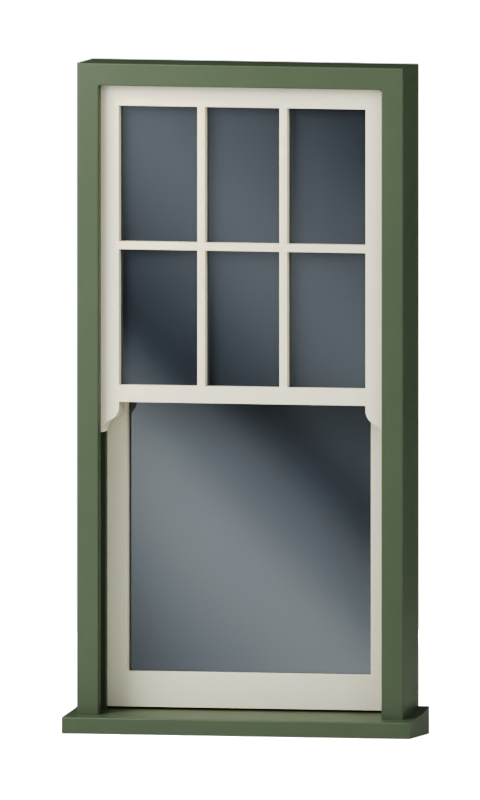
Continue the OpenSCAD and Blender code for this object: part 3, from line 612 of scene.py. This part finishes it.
def foot_screws(feet, mesh):
    low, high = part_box(feet)
    y, z = (low.y + high.y) / 2, (low.z + high.z) / 2
    return [(mesh, (low.x, y, z), (1, 0, 0)), (mesh, (high.x, y, z), (-1, 0, 0))]


brass_short = slotted_screw("brass_short", SHORT_SCREW, brass)
brass_long = slotted_screw("brass_long", LONG_SCREW, brass)
steel_short = slotted_screw("steel_short", SHORT_SCREW, plated_steel)
steel_long = slotted_screw("steel_long", LONG_SCREW, plated_steel)

LIFT_SCREW_IN = 8 * MM
LIFT_SCREW_DOWN = 7 * MM
lower_screws = foot_screws("lower_rod_feet", brass_long)
lower_screws += [(brass_short, at, (0, 0, -1)) for at in fastener_screws]
for name in ("lift_left", "lift_right"):
    low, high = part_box(name)
    for x in (low.x + LIFT_SCREW_IN, high.x - LIFT_SCREW_IN):
        place = (x, low.y + PLATE, high.z - LIFT_SCREW_DOWN)
        lower_screws.append((brass_short, place, (0, -1, 0)))
upper_screws = foot_screws("upper_rod_feet", steel_long)
upper_screws += [(steel_short, at, (0, 0, -1)) for at in keep_screws]
LUG_SCREW_IN = 5.5 * MM
LUG_SCREW_DOWN = 6 * MM
lug_screws = []
for name in ("upper_tube_left", "lower_tube_left", "upper_tube_right", "lower_tube_right"):
    low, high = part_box(name)
    side = 1 if name.endswith("right") else -1
    inner = min(abs(low.x), abs(high.x))
    place = (side * (inner + LUG_SCREW_IN), (low.y + high.y) / 2, high.z - LUG_SCREW_DOWN)
    lug_screws.append((steel_long, place, (side, 0, 0)))
for name, screws, finish, body in (("lower_sash_screws", lower_screws, brass, "lower_sash"),
                                   ("upper_sash_screws", upper_screws, plated_steel, "upper_sash"),
                                   ("balance_screws", lug_screws, plated_steel, "frame")):
    driven = drive_all(name + "_threaded", screws, finish)
    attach(driven, body)
    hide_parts(name)

# ---- Studio ----
# A pale floor, a broad soft light from the front left and weaker fills. Two graded cards
# stand in front of the window and show only in reflections, mostly in the glass.
window_low, window_high = cad_box


def pale_floor():
    grid = bpy.data.meshes.new("floor")
    half = 6
    corners = [(-half, -half, 0), (half, -half, 0), (half, half, 0), (-half, half, 0)]
    grid.from_pydata(corners, [], [(0, 1, 2, 3)])
    floor = bpy.data.objects.new("floor", grid)
    studio.collection.objects.link(floor)
    finish, tree, shader = new_finish("floor_paint")[:3]
    shader.inputs["Base Color"].default_value = (0.8, 0.8, 0.8, 1)
    shader.inputs["Roughness"].default_value = 0.9
    seen = tree.nodes.new("ShaderNodeLightPath").outputs["Is Camera Ray"]
    glow = tree.nodes.new("ShaderNodeMath")
    glow.operation = "MULTIPLY"
    glow.inputs[1].default_value = 1.2
    join_up(tree, seen, glow.inputs[0])
    shader.inputs["Emission Color"].default_value = (1, 1, 1, 1)
    join_up(tree, glow.outputs["Value"], shader.inputs["Emission Strength"])
    grid.materials.append(finish)


pale_floor()
LIGHT_AWAY = 3.6
LIGHT_SIZE = 2.2


def soft_light(name, azimuth, elevation, watts, away=LIGHT_AWAY, size=LIGHT_SIZE):
    """An area light that faces the window's middle, placed by its azimuth from the front."""
    lamp = bpy.data.lights.new(name, "AREA")
    lamp.shape = "RECTANGLE"
    lamp.size = lamp.size_y = size
    lamp.energy = watts
    middle = (window_low + window_high) / 2
    turn, lift = math.radians(azimuth), math.radians(elevation)
    out = Vector((math.sin(turn) * math.cos(lift), -math.cos(turn) * math.cos(lift), math.sin(lift)))
    holder = bpy.data.objects.new(name, lamp)
    holder.location = middle + out * away
    holder.rotation_euler = (-out).to_track_quat("-Z", "Y").to_euler()
    studio.collection.objects.link(holder)
    return holder


soft_light("key", -50, 25, 103)
soft_light("high_key", -50, 50, 61)
soft_light("front_fill", 30, 10, 5)
soft_light("right_fill", 60, 30, 47)
soft_light("right_low_fill", 90, 0, 16)
soft_light("back_fill", 200, 0, 60, 4, 2.5).visible_glossy = False

# The room gives less light from behind the window than from in front of it.
sky = bpy.data.worlds.new("sky")
studio.world = sky
sky.use_nodes = True
seen = sky.node_tree.nodes.new("ShaderNodeLightPath").outputs["Is Camera Ray"]
level = sky.node_tree.nodes.new("ShaderNodeMapRange")
level.inputs["To Max"].default_value = 1.4
join_up(sky.node_tree, seen, level.inputs["Value"])
facing = sky.node_tree.nodes.new("ShaderNodeSeparateXYZ")
direction = sky.node_tree.nodes.new("ShaderNodeTexCoord").outputs["Generated"]
join_up(sky.node_tree, direction, facing.inputs["Vector"])
room = sky.node_tree.nodes.new("ShaderNodeMapRange")
room.inputs["From Min"].default_value = -0.6
room.inputs["From Max"].default_value = 0.6
room.inputs["To Min"].default_value = 0.24
room.inputs["To Max"].default_value = 0.08
join_up(sky.node_tree, facing.outputs["Y"], room.inputs["Value"])
join_up(sky.node_tree, room.outputs["Result"], level.inputs["To Min"])
background = sky.node_tree.nodes["Background"]
background.inputs["Color"].default_value = (1, 1, 1, 1)
join_up(sky.node_tree, level.outputs["Result"], background.inputs["Strength"])


def graded_card(name, low, high, stops):
    """A card that glows in soft diagonal bands. Each stop is a distance down the diagonal and a glow."""
    shape = bpy.data.meshes.new(name)
    corners = [(low[0], CARD_Y, low[1]), (high[0], CARD_Y, low[1]), (high[0], CARD_Y, high[1]),
               (low[0], CARD_Y, high[1])]
    shape.from_pydata(corners, [], [(0, 1, 2, 3)])
    card = bpy.data.objects.new(name, shape)
    studio.collection.objects.link(card)
    card.visible_camera = card.visible_diffuse = card.visible_shadow = False
    finish = bpy.data.materials.new(name)
    finish.use_nodes = True
    tree = finish.node_tree
    tree.nodes.clear()
    place = tree.nodes.new("ShaderNodeTexCoord").outputs["Object"]
    down = tree.nodes.new("ShaderNodeVectorMath")
    down.operation = "DOT_PRODUCT"
    down.inputs[1].default_value = CARD_SLOPE
    join_up(tree, place, down.inputs[0])
    start, end = stops[0][0], stops[-1][0]
    share = tree.nodes.new("ShaderNodeMapRange")
    share.inputs["From Min"].default_value = start
    share.inputs["From Max"].default_value = end
    join_up(tree, down.outputs["Value"], share.inputs["Value"])
    bands = tree.nodes.new("ShaderNodeValToRGB")
    bands.color_ramp.interpolation = "CARDINAL"
    points = bands.color_ramp.elements
    while len(points) < len(stops):
        points.new(0.5)
    for point, (distance, glow) in zip(points, stops):
        point.position = (distance - start) / (end - start)
        point.color = (0.86 * glow, 0.94 * glow, 0.97 * glow, 1)
    join_up(tree, share.outputs["Result"], bands.inputs["Fac"])
    lit = tree.nodes.new("ShaderNodeEmission")
    lit.inputs["Strength"].default_value = CARD_GLOW
    join_up(tree, bands.outputs["Color"], lit.inputs["Color"])
    surface = tree.nodes.new("ShaderNodeOutputMaterial")
    join_up(tree, lit.outputs["Emission"], surface.inputs["Surface"])
    shape.materials.append(finish)


CARD_Y = -1.8
CARD_SLOPE = (-0.692, 0, -0.722)
CARD_GLOW = 1.9
graded_card("upper_card", (-0.85, 0.785), (-0.02, 1.64),
            [(-1.03, 0.07), (-0.87, 0.23), (-0.72, 0.37), (-0.56, 0.45), (-0.40, 0.27), (-0.24, 0.03),
             (-0.20, 0.00), (-0.16, 0.11), (-0.08, 0.40)])
graded_card("lower_card", (-0.85, -0.06), (-0.02, 0.78),
            [(-0.38, 0.26), (-0.31, 0.21), (-0.24, 0.12), (-0.15, 0.37), (-0.02, 0.68), (0.08, 0.96),
             (0.25, 0.80), (0.50, 0.43)])

# A gentle print curve: it holds the shadows down and rolls off the pale paint below white.
WHITE_AT = 1.3
studio.view_settings.view_transform = "Standard"
studio.view_settings.use_curve_mapping = True
curves = studio.view_settings.curve_mapping
curves.white_level = (WHITE_AT, WHITE_AT, WHITE_AT)
print_curve = curves.curves[3].points
print_stops = [(0, 0), (0.05, 0.02), (0.1, 0.07), (0.2, 0.21), (0.4, 0.42), (0.8, 0.63),
               (1, 0.7), (WHITE_AT, 1)]
while len(print_curve) < len(print_stops):
    print_curve.new(0.5, 0.5)
for point, (light, shown) in zip(print_curve, print_stops):
    point.location = (light / WHITE_AT, shown)
curves.update()

# The camera has no perspective and stands 13.6 degrees round to the right, a little above
# level, looking at the middle of the outer linings.
EYE_TURN = 13.6
EYE_LIFT = 3.92
EYE_WIDTH = 2.1456
EYE_AWAY = 5
AIM_ACROSS = 0.0005
AIM_HIGH = 0.901
eye = bpy.data.cameras.new("camera")
eye.type = "ORTHO"
eye.ortho_scale = EYE_WIDTH
camera = bpy.data.objects.new("camera", eye)
studio.collection.objects.link(camera)
turn, lift = math.radians(EYE_TURN), math.radians(EYE_LIFT)
back = Vector((math.sin(turn) * math.cos(lift), -math.cos(turn) * math.cos(lift), math.sin(lift)))
lining_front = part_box("outer_lining_head")[0].y
camera.location = Vector((AIM_ACROSS, lining_front, AIM_HIGH)) + back * EYE_AWAY
camera.rotation_euler = (-back).to_track_quat("-Z", "Y").to_euler()
studio.camera = camera
